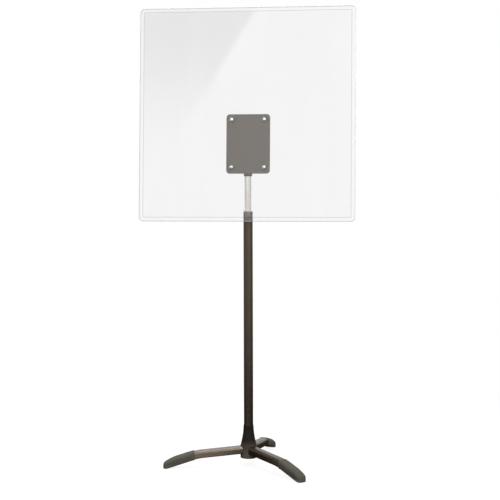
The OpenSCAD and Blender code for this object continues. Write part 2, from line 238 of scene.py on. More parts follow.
def loft(rings, first=0):
    """Points, side faces and rings of point numbers, for rings of equal count."""
    count = len(rings[0])
    verts = [point for ring in rings for point in ring]
    starts = [first + i * count for i in range(len(rings))]
    numbers = [list(range(start, start + count)) for start in starts]
    faces = []
    for ring_a, ring_b in zip(numbers, numbers[1:]):
        bridge(faces, ring_a, ring_b)
    return verts, faces, numbers


def revolve(name, profile, segments=128, matrix=None):
    """Closed (radius, height) loop turned about Z. Radius 0 is a pole."""
    verts, rings = [], []
    for radius, z in profile:
        start = len(verts)
        if radius < 1e-6:
            verts.append((0.0, 0.0, z))
        else:
            verts += [(x, y, z) for x, y in circle(0.0, 0.0, radius, segments)]
        rings.append(list(range(start, len(verts))))
    faces = []
    for ring_a, ring_b in zip(rings, rings[1:] + rings[:1]):
        if len(ring_a) == 1 and len(ring_b) == 1:
            continue
        if len(ring_a) > 1 and len(ring_b) > 1:
            bridge(faces, ring_a, ring_b)
            continue
        for k in range(segments):
            l = (k + 1) % segments
            if len(ring_a) == 1:
                faces.append((ring_a[0], ring_b[k], ring_b[l]))
            else:
                faces.append((ring_a[k], ring_a[l], ring_b[0]))
    return new_piece(name, verts, faces, matrix)


def hole_along_x(radius, z, segments):
    """Cutter for a hole through the mast, along X at height z."""
    place = Matrix.Translation((0, 0, z * MM)) @ Matrix.Rotation(math.pi / 2, 4, "Y")
    profile = [(0, -20), (radius, -20), (radius, 20), (0, 20)]
    return revolve("hole", profile, segments, place)


def fill_planar(verts, faces, loops):
    """Triangles for one flat face bounded by the given loops of point numbers."""
    bm = bmesh.new()
    number_of, edges = {}, []
    for loop in loops:
        corners = [bm.verts.new(verts[i]) for i in loop]
        number_of.update(zip(corners, loop))
        for k, corner in enumerate(corners):
            edges.append(bm.edges.new((corner, corners[(k + 1) % len(corners)])))
    bmesh.ops.triangle_fill(bm, use_beauty=True, use_dissolve=False, edges=edges)
    for face in bm.faces:
        faces.append(tuple(number_of[v] for v in face.verts))
    bm.free()


def sheet_with_holes(name, stacks, matrix):
    """A flat sheet lying in X and Z. Each stack is one boundary, as (points, y) rings from the
    front face to the back face. The first is the outline, the others are holes."""
    verts, faces, fronts, backs = [], [], [], []
    for stack in stacks:
        rings = [[(x, y, z) for x, z in points] for points, y in stack]
        points, sides, numbers = loft(rings, first=len(verts))
        verts += points
        faces += sides
        fronts.append(numbers[0])
        backs.append(numbers[-1])
    fill_planar(verts, faces, fronts)
    fill_planar(verts, faces, backs)
    return new_piece(name, verts, faces, matrix)


def rounded_edges(outline, front, back, edge, steps):
    """Rings from front to back with both edges rounded. outline(inset) gives the boundary."""
    turns = [math.pi / 2 * k / steps for k in range(steps + 1)]
    rings = [(outline(edge * (1 - math.sin(a))), front + edge * (1 - math.cos(a))) for a in turns]
    rings += [(outline(edge * (1 - math.cos(a))), back - edge * (1 - math.sin(a))) for a in turns]
    return rings


# ---------------------------------------------------------------- shader helpers

MID_NOISE = (0.3, 0.7)  # the range most noise values lie in


def shade(colour, factor):
    return tuple(c * factor for c in colour)


def srgb(*levels):
    """Linear colour from 0 to 255 sRGB levels, each above 10."""
    return tuple(((c / 255.0 + 0.055) / 1.055) ** 2.4 for c in levels)


class Graph:
    """A node tree being built. Any input takes a number, a colour or another node's output."""

    def __init__(self, owner, empty=True, coordinate="Object"):
        self.owner = owner
        owner.use_nodes = True
        self.tree = owner.node_tree
        if empty:
            self.tree.nodes.clear()
        self.place = self.node("TexCoord").outputs[coordinate]

    def put(self, socket, value):
        if isinstance(value, bpy.types.NodeSocket):
            self.tree.links.new(value, socket)
            return
        if isinstance(value, (tuple, list)) and len(value) < len(socket.default_value):
            value = (*value, 1.0)
        socket.default_value = value

    def node(self, kind, inputs=(), **settings):
        made = self.tree.nodes.new("ShaderNode" + kind)
        for name, value in settings.items():
            setattr(made, name, value)
        for key, value in dict(inputs).items():
            self.put(made.inputs[key], value)
        return made

    def stretched(self, scales):
        mapping = self.node("Mapping", {"Vector": self.place, "Scale": scales})
        return mapping.outputs["Vector"]

    def noise(self, scale, detail=3.0, rough=0.55, at=None, distort=0.0):
        at = self.place if at is None else at
        inputs = {"Vector": at, "Scale": scale, "Detail": detail, "Roughness": rough,
                  "Distortion": distort}
        return self.node("TexNoise", inputs).outputs["Fac"]

    def voronoi(self, scale):
        cells = self.node("TexVoronoi", {"Vector": self.place, "Scale": scale})
        return cells.outputs["Distance"]

    def remap(self, value, span=MID_NOISE, to=(0.0, 1.0), curve="LINEAR"):
        """The value's span carried over to another span, clamped at both ends."""
        inputs = {"Value": value, "From Min": span[0], "From Max": span[1],
                  "To Min": to[0], "To Max": to[1]}
        return self.node("MapRange", inputs, interpolation_type=curve).outputs["Result"]

    def ease(self, value, span, to=(0.0, 1.0)):
        """As remap, with soft ends."""
        return self.remap(value, span, to, curve="SMOOTHSTEP")

    def math(self, operation, a, b):
        return self.node("Math", {0: a, 1: b}, operation=operation).outputs[0]

    def times(self, value, by):
        return self.math("MULTIPLY", value, by)

    def plus(self, value, more):
        return self.math("ADD", value, more)

    def mix(self, amount, under, over, blend="MIX"):
        made = self.node("Mix", {}, data_type="RGBA", blend_type=blend)
        for key, value in ((0, amount), (6, under), (7, over)):
            self.put(made.inputs[key], value)
        return made.outputs[2]

    def mix_shader(self, amount, under, over):
        return self.node("MixShader", {0: amount, 1: under, 2: over}).outputs[0]

    def bump(self, height, strength, distance):
        inputs = {"Strength": strength, "Distance": distance, "Height": height}
        return self.node("Bump", inputs).outputs["Normal"]

    def edges(self, radius):
        """1 on edges within radius metres of a sharp turn, 0 on flat faces."""
        rounded = self.node("Bevel", {"Radius": radius}, samples=4).outputs["Normal"]
        normal = self.node("NewGeometry").outputs["Normal"]
        dot = self.node("VectorMath", {0: rounded, 1: normal}, operation="DOT_PRODUCT")
        return self.ease(dot.outputs["Value"], span=(0.995, 0.90))

    def is_camera_ray(self):
        return self.node("LightPath").outputs["Is Camera Ray"]

    def principled(self, inputs):
        """Sets the surface node a new material comes with, and gives back the material."""
        surface = self.tree.nodes["Principled BSDF"]
        for name, value in inputs.items():
            self.put(surface.inputs[name], value)
        return self.owner

    def output(self, surface, kind="OutputMaterial"):
        self.node(kind, {"Surface": surface})
        return self.owner


# ---------------------------------------------------------------- materials

PAINT = (0.093, 0.078, 0.064)
RUBBER = srgb(64, 62, 55)


def make_paint(name="paint_coat", tone=1.0, metallic=0.95, rough=0.30, specular=0.5,
               by_height=None):
    """Satin powder coat, warm dark grey, with a fine orange-peel skin and polished edges.
    by_height gives a span of heights in metres and the brightness at its two ends, which paints light and shade
    that change with height. tone paints a lighter or darker copy of the coat."""
    g = Graph(bpy.data.materials.new(name), empty=False)
    base = shade(PAINT, tone)
    clouds = g.remap(g.noise(scale=38.0))
    specks = g.remap(g.noise(scale=2600.0, detail=2.0, rough=0.6), span=(0.35, 0.7))
    colour = g.mix(clouds, shade(base, 0.90), shade(base, 1.10))
    colour = g.mix(g.times(specks, by=0.35), colour, shade(base, 1.45))
    # painted light and shade: the colour is brightened or darkened with height
    if by_height:
        heights, brightness = by_height
        z = g.node("SeparateXYZ", {0: g.place}).outputs["Z"]
        colour = g.mix(1.0, colour, g.remap(z, span=heights, to=brightness), blend="MULTIPLY")
    patches = g.ease(g.noise(scale=160.0, detail=4.0, rough=0.7), span=(0.46, 0.62),
                     to=(0.0, 0.55))
    wear = g.times(g.edges(radius=0.0011), by=patches)
    worn_colour = (0.34, 0.31, 0.27)
    colour = g.mix(wear, colour, worn_colour)
    peel = g.noise(scale=620.0, detail=2.0, rough=0.5)
    fine = g.noise(scale=2400.0, detail=2.0, rough=0.6)
    height = g.plus(peel, g.times(fine, by=0.35))
    roughness = g.remap(g.noise(scale=90.0, detail=4.0, rough=0.6), span=(0.25, 0.75),
                        to=(rough, rough + 0.08))
    return g.principled({
        "Base Color": colour,
        "Roughness": g.math("SUBTRACT", roughness, g.times(wear, by=0.14)),
        "Metallic": metallic,
        "IOR": 1.5,
        "Specular IOR Level": specular,
        "Normal": g.bump(height, strength=0.35, distance=0.00012),
    })


def make_metal(name, colour, rough, lines=1.0, metallic=1.0, grain=(900.0, 900.0, 6.0),
               tarnish=(0.45, 0.42, 0.36)):
    """Plated steel with drawing lines and faint handling marks. lines is their strength,
    grain the noise scale along each axis."""
    g = Graph(bpy.data.materials.new(name), empty=False)
    drawn = g.noise(scale=1.0, detail=4.0, rough=0.7, at=g.stretched(grain))
    smears = g.ease(g.noise(scale=24.0, detail=4.0, rough=0.62, distort=0.6), span=(0.48, 0.72))
    spots = g.remap(g.voronoi(scale=420.0), span=(0.02, 0.10), to=(0.35, 0.0))
    tone = g.mix(g.times(smears, by=0.16), colour, tarnish)
    tone = g.mix(g.times(spots, by=0.30), tone, shade(colour, 0.55))
    tone = g.mix(g.remap(drawn, to=(0.0, 0.10)), tone, shade(colour, 0.82))
    roughness = g.remap(drawn, to=(rough - 0.04 * lines, rough + 0.05 * lines))
    return g.principled({
        "Base Color": tone,
        "Roughness": g.plus(roughness, g.times(smears, by=0.07)),
        "Metallic": metallic,
        "Normal": g.bump(drawn, strength=0.10 * lines, distance=0.00003),
    })


def make_rubber(name="rubber_boot", tone=(1.0, 1.0, 1.0)):
    """Matt dark rubber with a fine moulded grain, scuffed and dusty near the floor."""
    g = Graph(bpy.data.materials.new(name), empty=False)
    # tone paints a lighter or darker copy of the rubber, standing in for light and shade
    base = tuple(c * t for c, t in zip(RUBBER, tone))
    clouds = g.remap(g.noise(scale=45.0, detail=4.0))
    grain = g.noise(scale=1800.0, rough=0.65)
    colour = g.mix(clouds, shade(base, 0.86), shade(base, 1.14))
    z = g.node("SeparateXYZ", {0: g.place}).outputs["Z"]
    near_floor = g.ease(z, span=(0.0, 0.016), to=(0.42, 0.0))
    patches = g.remap(g.noise(scale=300.0, detail=4.0, rough=0.7), span=(0.35, 0.65),
                      to=(0.2, 1.0))
    dust_colour = (0.19, 0.18, 0.16)
    colour = g.mix(g.times(near_floor, by=patches), colour, dust_colour)
    scuffs = g.ease(g.noise(scale=240.0, detail=4.0, rough=0.7), span=(0.45, 0.65),
                    to=(0.0, 0.4))
    scuff_colour = (0.15, 0.145, 0.13)
    colour = g.mix(g.times(g.edges(radius=0.0016), by=scuffs), colour, scuff_colour)
    return g.principled({
        "Base Color": colour,
        "Roughness": g.remap(g.noise(scale=120.0), to=(0.66, 0.84)),
        "IOR": 1.45,
        "Specular IOR Level": 0.35,
        "Normal": g.bump(grain, strength=0.30, distance=0.00012),
    })


def make_plastic(name, colour, rough, grain=1200.0, speckle=None):
    """Cloudy plastic with a fine grain, and dots of a second colour if speckle is given."""
    g = Graph(bpy.data.materials.new(name), empty=False)
    tone = g.mix(g.remap(g.noise(scale=70.0)), shade(colour, 0.88), shade(colour, 1.12))
    if speckle is not None:
        dots = g.ease(g.noise(scale=1500.0, rough=0.7), span=(0.52, 0.66), to=(0.0, 0.8))
        tone = g.mix(dots, tone, speckle)
    skin = g.noise(scale=grain, rough=0.6)
    return g.principled({
        "Base Color": tone,
        "Roughness": g.remap(skin, to=(rough - 0.05, rough + 0.08)),
        "IOR": 1.5,
        "Normal": g.bump(skin, strength=0.22, distance=0.0001),
    })


def make_clear(name, tint, ior=1.49, haze=0.0, rough=0.02, body=None):
    """Clear sheet: a faint tint over what is behind, a mirror on top by Fresnel's law, and
    faint wiping marks. With a body colour, haze is the share of solid surface mixed in."""
    g = Graph(bpy.data.materials.new(name))
    wipes = g.noise(scale=1.0, detail=4.0, rough=0.6, at=g.stretched((9.0, 9.0, 2.2)),
                    distort=0.8)
    see_through = g.mix(g.remap(wipes, span=(0.35, 0.7)), tint, shade(tint, 0.988))
    clear = g.node("BsdfTransparent", {"Color": see_through}).outputs[0]
    mirror = g.node("BsdfGlossy", {
        "Color": (1, 1, 1),
        "Roughness": g.remap(wipes, span=(0.35, 0.75), to=(rough, rough + 0.03)),
    }).outputs[0]
    # the way out of the sheet reflects as the way in does, since the sheet bends no light
    backfacing = g.node("NewGeometry").outputs["Backfacing"]
    facing_ior = g.remap(backfacing, span=(0.0, 1.0), to=(ior, 1.0 / ior))
    fresnel = g.node("Fresnel", {"IOR": facing_ior}).outputs[0]
    surface = g.mix_shader(fresnel, clear, mirror)
    if body is not None:
        fine = g.noise(scale=650.0, rough=0.6)
        solid = g.node("BsdfPrincipled", {
            "Base Color": g.mix(g.remap(fine), shade(body, 0.93), shade(body, 1.07)),
            "Roughness": g.remap(fine, to=(0.18, 0.30)),
            "IOR": 1.49,
            "Normal": g.bump(fine, strength=0.08, distance=0.00005),
        }).outputs[0]
        surface = g.mix_shader(haze, surface, solid)
    return g.output(surface)


MATS = {
    "paint": make_paint(),
    # painted shade: the hub wears a far darker, duller copy of the coat, painted lighter towards its foot
    "paint_hub": make_paint("paint_coat_hub_painted_shade", tone=0.13, metallic=0.0, rough=0.50,
                            specular=0.07, by_height=((0.030, 0.072), (6.0, 0.8))),
    # painted shade: the outer tube's coat is a little darker and darkens further towards the hub
    "paint_tube": make_paint("paint_coat_tube_painted_shade", tone=0.88,
                             by_height=((0.10, 0.26), (0.74, 1.0))),
    # painted light and shade: the left leg wears a lighter copy of the coat, the right and rear legs darker ones,
    # after how the light falls on each
    "leg_left": make_paint("paint_coat_leg_left_painted_light", tone=1.20),
    "leg_right": make_paint("paint_coat_leg_right_painted_shade", tone=0.68),
    "leg_rear": make_paint("paint_coat_leg_rear_painted_shade", tone=0.72),
    "nickel": make_metal("nickel_plate", (0.82, 0.815, 0.805), rough=0.18),
    "zinc_steel": make_metal("zinc_plate", (0.60, 0.61, 0.61), rough=0.33, lines=2.0,
                             grain=(500.0, 500.0, 90.0), tarnish=(0.50, 0.47, 0.36)),
    "black_steel": make_metal("black_oxide", (0.045, 0.044, 0.043), rough=0.36, lines=1.6,
                              metallic=0.75, grain=(700.0, 700.0, 160.0),
                              tarnish=(0.10, 0.085, 0.07)),
    "rubber": make_rubber(),
    # painted light and shade: the right boot wears a darker copy of the rubber and the rear boot a lighter one,
    # after how the light falls on them
    "boot_right": make_rubber("rubber_boot_right_painted_shade", tone=(0.86, 0.84, 0.82)),
    "boot_rear": make_rubber("rubber_boot_rear_painted_light", tone=(1.22, 1.16, 1.12)),
    "nylon": make_plastic("nylon_grey", (0.33, 0.32, 0.30), rough=0.46),
    "fibre": make_plastic("fibre_disc", srgb(104, 74, 50), rough=0.62, grain=900.0,
                          speckle=srgb(150, 120, 92)),
    "clear": make_clear("clear_sheet", tint=(0.928, 0.929, 0.929)),
    "clear_edge": make_clear("clear_sheet_edge", tint=(0.72, 0.76, 0.745), haze=0.62,
                             rough=0.12, body=(0.50, 0.545, 0.525)),
    "clear_bevel": make_clear("clear_sheet_bevel", tint=(0.955, 0.962, 0.958), rough=0.04),
    "clear_line": make_clear("clear_sheet_line", tint=(0.62, 0.65, 0.64), rough=0.06),
    "clear_disc": make_clear("clear_disc", tint=(0.88, 0.885, 0.87), ior=1.45, haze=0.10,
                             rough=0.08, body=(0.62, 0.61, 0.58)),
}


def dress(piece, slot, body, replaced, looks=None):
    """Give a piece its materials, by default the slot's own, hang it on its body and hide the frame piece it
    replaces.
    """
    piece.data.materials.clear()
    for look in looks or [slot]:
        piece.data.materials.append(MATS[look])
    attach(piece, body)
    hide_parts(replaced)


# ---------------------------------------------------------------- legs
# A leg is drawn along +X, with r the distance from the mast axis, then turned to its azimuth.
# Its centre line is a straight, a bend and a steeper straight, all sloping down outwards.

SLOPE_IN, SLOPE_OUT = math.asin(0.07584), math.asin(0.28)
ROOT_Z = 46.5       # height of the centre line on the mast axis
STRAIGHT_IN = 125.0
BEND_R = 200.0
BEND_START = (STRAIGHT_IN * math.cos(SLOPE_IN), ROOT_Z - STRAIGHT_IN * math.sin(SLOPE_IN))
BEND_CENTRE = (BEND_START[0] - BEND_R * math.sin(SLOPE_IN),
               BEND_START[1] - BEND_R * math.cos(SLOPE_IN))
BEND_END = (BEND_CENTRE[0] + BEND_R * math.sin(SLOPE_OUT),
            BEND_CENTRE[1] + BEND_R * math.cos(SLOPE_OUT))
HUB_R = 22.5
LEG_HALF_W, LEG_WALL, LEG_CORNER_R = 14.0, 2.5, 8.0
LEG_CORNER_Z, LEG_SIDE_Z, LEG_LIP_Z = 2.0, -4.0, -8.75


def centre_line(r):
    """Height and slope of a leg's centre line at distance r from the mast axis."""
    if r <= BEND_START[0]:
        return ROOT_Z - r * math.tan(SLOPE_IN), SLOPE_IN
    if r >= BEND_END[0]:
        return BEND_END[1] - (r - BEND_END[0]) * math.tan(SLOPE_OUT), SLOPE_OUT
    slope = math.asin((r - BEND_CENTRE[0]) / BEND_R)
    return BEND_CENTRE[1] + BEND_R * math.cos(slope), slope


def leg_arch(half, radius):
    """Open (y, z) outline from the -Y lip over the crown to the +Y lip."""
    y, z = half - radius, LEG_CORNER_Z
    return ([(-half, LEG_LIP_Z), (-half, LEG_SIDE_Z)]
            + arc(-y, z, radius, 180, 90, 12) + [(0.0, z + radius)] + arc(y, z, radius, 90, 0, 12)
            + [(half, LEG_SIDE_Z), (half, LEG_LIP_Z)])


def leg_lip(y):
    """Round lip between the two outlines, without its end points."""
    return arc(y, LEG_LIP_Z, LEG_WALL / 2, 0, -180, 6)[1:-1]


def build_leg(side):
    """Crowned channel, open below, from the hub's wall out into the boot."""
    outer = leg_arch(LEG_HALF_W, LEG_CORNER_R)
    inner = leg_arch(LEG_HALF_W - LEG_WALL, LEG_CORNER_R - LEG_WALL)
    lip_y = LEG_HALF_W - LEG_WALL / 2
    lip_plus, lip_minus = leg_lip(lip_y), leg_lip(-lip_y)
    section = outer + lip_plus + inner[::-1] + lip_minus

    def ring(distance_at):
        out = []
        for y, z in section:
            r = distance_at(y)
            height, slope = centre_line(r)
            out.append((r, y, height + z / math.cos(slope)))
        return out

    rings = [ring(lambda y: math.sqrt((HUB_R + 0.1) ** 2 - y * y))]
    stations = list(np.linspace(30, BEND_START[0], 14))
    stations += list(np.linspace(BEND_START[0], BEND_END[0], 16))[1:]
    stations += list(np.linspace(BEND_END[0], 205.0, 6))[1:]
    rings += [ring(lambda y, r=r: r) for r in stations]
    verts, faces, numbers = loft(rings)

    arch, lip = len(outer), len(lip_plus)
    for ids in (numbers[0], numbers[-1]):
        outside = ids[:arch]
        plus = ids[arch:arch + lip]
        inside = ids[arch + lip:2 * arch + lip][::-1]
        minus = ids[2 * arch + lip:]
        for k in range(arch - 1):
            faces.append((outside[k], outside[k + 1], inside[k + 1], inside[k]))
        faces.append((outside[-1], *plus, inside[-1]))
        faces.append((inside[0], *minus, outside[0]))
    leg = new_piece("leg_shell_" + side, verts, faces, Matrix.Rotation(AZIMUTH[side], 4, "Z"))
    sharpen(leg, 35)
    # each leg wears its own lighter or darker copy of the coat: painted light and shade
    dress(leg, "paint", "base", "leg_" + side, looks=["leg_" + side])


# ---------------------------------------------------------------- boots

BOOT_MOUTH_R, BOOT_TIP_R = 150.0, 235.0
BOOT_HALF_W, BOOT_HALF_H = 15.5, 11.5
BOOT_SLOPE_R = 198.0    # beyond this distance the top slopes down to the toe
BOOT_FIXED_Z = -7.5     # the section below this height keeps its place as the top drops
NOSE_HALF_W, NOSE_LENGTH, NOSE_REACH, NOSE_DROP_LENGTH = 4.5, 15.0, 14.9, 6.0
# the mouth: (distance beyond the mouth, growth of the section)
BOOT_HOLLOW_RIM = [(0.5, 0.12), (0.1, 0.5)]
BOOT_OUTER_RIM = [(0.0, -1.1), (0.15, -0.45), (0.6, 0.15), (1.4, 0.25), (3.2, 0.25),
                  (4.2, 0.15), (4.9, 0.0)]


def boot_outer(r, grow=0.0, narrow=1.0, drop=0.0):
    """Ring of the boot's outside at distance r."""
    height, slope = centre_line(r)
    past_slope = max(0.0, (r - BOOT_SLOPE_R) / (BOOT_TIP_R - BOOT_SLOPE_R))
    drop += 7.6 * past_slope ** 1.7
    widen = 1.0 + grow / BOOT_HALF_W
    out = []
    for y, z in crowned_outline(2 * BOOT_HALF_W, -BOOT_HALF_H, BOOT_HALF_H, 9.5, 4.0):
        top = height + z * (1.0 + grow / BOOT_HALF_H) / math.cos(slope)
        if drop > 0 and z > BOOT_FIXED_Z:
            top -= drop * (z - BOOT_FIXED_Z) / (BOOT_HALF_H - BOOT_FIXED_Z)
        out.append((r, y * widen * narrow, max(0.0, top)))
    return out


def boot_hollow(r, grow=0.0):
    """Ring of the hollow that takes the leg, at distance r."""
    height, slope = centre_line(r)
    return [(r, y * (1 + grow / 14.0), height + z * (1 + grow / 10.0) / math.cos(slope))
            for y, z in crowned_outline(28.1, -10.05, 10.05, 8.05, 0.8)]


def boot_nose():
    """Rings of the rounded toe."""
    rings, steps = [], 14
    for k in range(steps + 1):
        turn = math.pi / 2 * k / steps
        r = (BOOT_TIP_R - NOSE_LENGTH) + NOSE_REACH * math.sin(turn)
        half = NOSE_HALF_W + (BOOT_HALF_W - NOSE_HALF_W) * math.cos(turn)
        drop = 0.0
        if r > BOOT_TIP_R - NOSE_DROP_LENGTH:
            part = min(1.0, (r - (BOOT_TIP_R - NOSE_DROP_LENGTH)) / NOSE_DROP_LENGTH)
            drop = 5.0 * (1 - math.sqrt(max(0.0, 1 - part * part)))
        rings.append(boot_outer(r, narrow=half / BOOT_HALF_W, drop=drop))
    return rings


def build_boot(side):
    """Boot over the leg's end, lofted from the hollow's end out to the mouth and on to the toe."""
    hollow_stations = [205.6] + list(np.linspace(200, BOOT_MOUTH_R + 1.5, 12))
    rings = [boot_hollow(r) for r in hollow_stations]
    rings += [boot_hollow(BOOT_MOUTH_R + beyond, grow) for beyond, grow in BOOT_HOLLOW_RIM]
    rings += [boot_outer(BOOT_MOUTH_R + beyond, grow) for beyond, grow in BOOT_OUTER_RIM]
    rings += [boot_outer(r) for r in np.linspace(BOOT_MOUTH_R + 8, 218.0, 18)]
    rings += boot_nose()
    verts, faces, numbers = loft(rings)
    for ids in (numbers[0], numbers[-1]):
        centre = len(verts)
        verts.append(tuple(sum(verts[i][axis] for i in ids) / len(ids) for axis in range(3)))
        for k in range(len(ids)):
            faces.append((ids[k], ids[(k + 1) % len(ids)], centre))
    boot = new_piece("boot_" + side, verts, faces, Matrix.Rotation(AZIMUTH[side], 4, "Z"))
    sharpen(boot, 50)
    # the right and rear boots take rubber copies with painted shade and painted light
    look = "rubber" if side == "left" else "boot_" + side
    dress(boot, "rubber", "base", "foot_cap_" + side, looks=[look])


for side in AZIMUTH:
    build_leg(side)
    build_boot(side)


# ---------------------------------------------------------------- hub

HUB_NECK_R, FLARE_Z, FLARE_STEPS = 13.8, 56.0, 40
HUB_RECESS_R, HUB_RECESS_DEPTH, HUB_BORE_R = 12.0, 10.0, 5.3
SOCKET_R, SOCKET_Z = 12.45, 58.0    # the socket that takes the outer tube
HUB_LOW_EDGE = 1.8
# the top rim: (radius, depth below the hub's top)
HUB_RIM = [(13.62, 0.15), (13.3, 0.0), (12.75, 0.0), (12.55, 0.12), (SOCKET_R, 0.5)]

LUG_W, LUG_LOW, LUG_TOP = 22.6, -9.0, 7.3
LUG_HOLE_X = 36.0
# from the root to the rounded end: (distance from the mast axis, inset of the section)
LUG_STATIONS = [(16.0, 0.0), (48.8, 0.0), (49.65, 0.35), (50.0, 1.2)]
# hole up through a lug, wide below: (radius, height)
LUG_HOLE = [(0, -20), (6.5, -20), (6.5, -4.5), (3.3, -4.5), (3.3, 6.8), (0, 6.8)]
LUG_POCKET_HALF = 6.3               # half the side of the square pocket in the top
LUG_POCKET_Z = (1.8, 21.8)


def hub_profile():
    low, recess_z = HUB_LOW, HUB_LOW + HUB_RECESS_DEPTH
    # the first point only sets the direction at the recess's corners
    recess = fillet([(0, recess_z), (HUB_RECESS_R, recess_z), (HUB_RECESS_R, low)],
                    [0, 0.8, 0.6], steps=3)[1:]
    wall = arc(HUB_R - HUB_LOW_EDGE, low + HUB_LOW_EDGE, HUB_LOW_EDGE, -90, 0, 6)
    wall += [(HUB_R, 38.0), (HUB_R, 50.0)]
    flare = [(HUB_NECK_R + (HUB_R - HUB_NECK_R) * (1 - i / FLARE_STEPS) ** 1.8,
              FLARE_Z + (HUB_TOP - 0.6 - FLARE_Z) * i / FLARE_STEPS)
             for i in range(FLARE_STEPS + 1)]
    rim = [(radius, HUB_TOP - depth) for radius, depth in HUB_RIM]
    core = [(SOCKET_R, SOCKET_Z), (HUB_BORE_R, SOCKET_Z), (HUB_BORE_R, recess_z)]
    return recess + wall + flare + rim + core


def build_lug(turn):
    """Crowned bar that fills a leg's root, with a stepped hole and a square pocket."""
    place = (Matrix.Rotation(turn, 4, "Z") @ Matrix.Translation((0, 0, ROOT_Z * MM))
             @ Matrix.Rotation(SLOPE_IN, 4, "Y"))
    section = crowned_outline(LUG_W, LUG_LOW, LUG_TOP, 5.3, 1.2, 10)
    middle = (LUG_TOP + LUG_LOW) / 2
    rings = []
    for x, inset in LUG_STATIONS:
        scale_y = 1 - inset / (LUG_W / 2)
        scale_z = 1 - inset / ((LUG_TOP - LUG_LOW) / 2)
        rings.append([(x, y * scale_y, middle + (z - middle) * scale_z) for y, z in section])
    verts, faces, numbers = loft(rings)
    faces += [tuple(numbers[0]), tuple(reversed(numbers[-1]))]
    lug = new_piece("lug", verts, faces, place)

    hole_place = place @ Matrix.Translation((LUG_HOLE_X * MM, 0, 0))
    hole = revolve("hole", LUG_HOLE, 48, hole_place)
    half = LUG_POCKET_HALF
    corners = [(LUG_HOLE_X + sx * half, sy * half, z) for z in LUG_POCKET_Z
               for sx, sy in ((-1, -1), (1, -1), (1, 1), (-1, 1))]
    sides = [(0, 1, 2, 3), (4, 5, 6, 7), (0, 1, 5, 4), (1, 2, 6, 5), (2, 3, 7, 6), (3, 0, 4, 7)]
    pocket = new_piece("hole", corners, sides, place)
    combine(lug, "DIFFERENCE", [hole, pocket])
    return lug


def build_hub():
    hub = revolve("hub_casting", hub_profile(), 144)
    combine(hub, "UNION", [build_lug(turn) for turn in AZIMUTH.values()])
    mend(hub)
    sharpen(hub, 32)
    # the hub's coat is a darker copy with painted shade
    dress(hub, "paint", "base", "hub", looks=["paint_hub"])


build_hub()


# ---------------------------------------------------------------- tubes and bushing

TUBE_BORE_R, TUBE_STEP = 11.05, 0.3     # the outer tube is thinner by the step inside the hub
MAST_BORE_R, MAST_R = 8.275, 9.525
PIN_R, PIN_Z = 2.05, NECK_LOW + 22      # cross hole through the neck and the inner tube
LONG_WALL = 60.0                        # longer walls are split by extra rings
# heights of the extra rings on the inner tube
MAST_RINGS = [260, 320, 380, 440, 500, 560, 620, 680, 702, 720, 745, 770, 788, 804, 820]


def split_walls(profile, between):
    """Profile with extra points, from between(start, end), on its long walls."""
    out = []
    for start, end in zip(profile, profile[1:] + profile[:1]):
        out.append(start)
        if abs(end[1] - start[1]) > LONG_WALL:
            out += between(start, end)
    return out


def even_points(start, end):
    (r0, z0), (r1, z1) = start, end
    count = int(abs(z1 - z0) // 30)
    return [(r0 + (r1 - r0) * k / count, z0 + (z1 - z0) * k / count) for k in range(1, count)]


def mast_points(start, end):
    low, high = sorted((start[1], end[1]))
    heights = MAST_RINGS if end[1] > start[1] else MAST_RINGS[::-1]
    return [(start[0], z) for z in heights if low < z < high]


def build_outer_tube():
    seat = HUB_TOP + 0.1
    thin_r = TUBE_R - TUBE_STEP
    profile = fillet([(TUBE_BORE_R, TUBE_LOW), (thin_r, TUBE_LOW), (thin_r, seat),
                      (TUBE_R, seat), (TUBE_R, TUBE_TOP), (TUBE_BORE_R, TUBE_TOP)],
                     [0.2, 0.3, 0, 0, 0.55, 0.2], steps=4)
    tube = revolve("mast_outer_tube", split_walls(profile, even_points))
    sharpen(tube, 35)
    # the tube's coat carries painted shade near the hub
    dress(tube, "paint", "base", "outer_tube", looks=["paint_tube"])


def build_inner_tube():
    profile = fillet([(MAST_BORE_R, MAST_LOW), (MAST_R, MAST_LOW), (MAST_R, MAST_TOP),
                      (MAST_BORE_R, MAST_TOP)], [0.2, 0.3, 0.3, 0.2], steps=3)
    mast = revolve("mast_inner_tube", split_walls(profile, mast_points))
    combine(mast, "DIFFERENCE", [hole_along_x(PIN_R, PIN_Z, 32)])
    sharpen(mast, 35)
    dress(mast, "nickel", "mast", "inner_tube")


def build_bushing():
    """Ring between the two tubes, with a collar above the outer tube's end."""
    bore, sleeve, collar = 9.6, 11.0, 12.4
    profile = fillet([(bore, BUSHING_LOW), (sleeve, BUSHING_LOW), (sleeve, TUBE_TOP),
                      (collar, TUBE_TOP), (collar, BUSHING_TOP), (bore, BUSHING_TOP)],
                     [0.3, 0.5, 0, 0.25, 1.3, 0.6], steps=5)
    bushing = revolve("top_bushing_ring", profile)
    sharpen(bushing, 35)
    dress(bushing, "nylon", "base", "top_bushing")


build_outer_tube()
build_inner_tube()
build_bushing()


# ---------------------------------------------------------------- tilt neck

NECK_BORE_R, NECK_R, NECK_SEGMENTS = 9.575, 12.5, 96
TONGUE_HALF_X, TONGUE_R = 8.0, 13.0     # the flat tongue, rounded about the tilt axis
TILT_HOLE_R = 4.075
# round part, down the bore and up the outside: (radius, height above the neck's foot)
NECK_ROUND = [
    (NECK_BORE_R, 48), (NECK_BORE_R, 30), (NECK_BORE_R, 14), (NECK_BORE_R, 1.0),
    (NECK_BORE_R + 0.25, 0.3), (NECK_BORE_R + 0.7, 0),
    (10.3, 0), (10.75, 0.2), (10.98, 0.8), (11.7, 4.5), (12.2, 7.0), (12.42, 8.4),
    (NECK_R, 10), (NECK_R, 30), (NECK_R, 46),
]


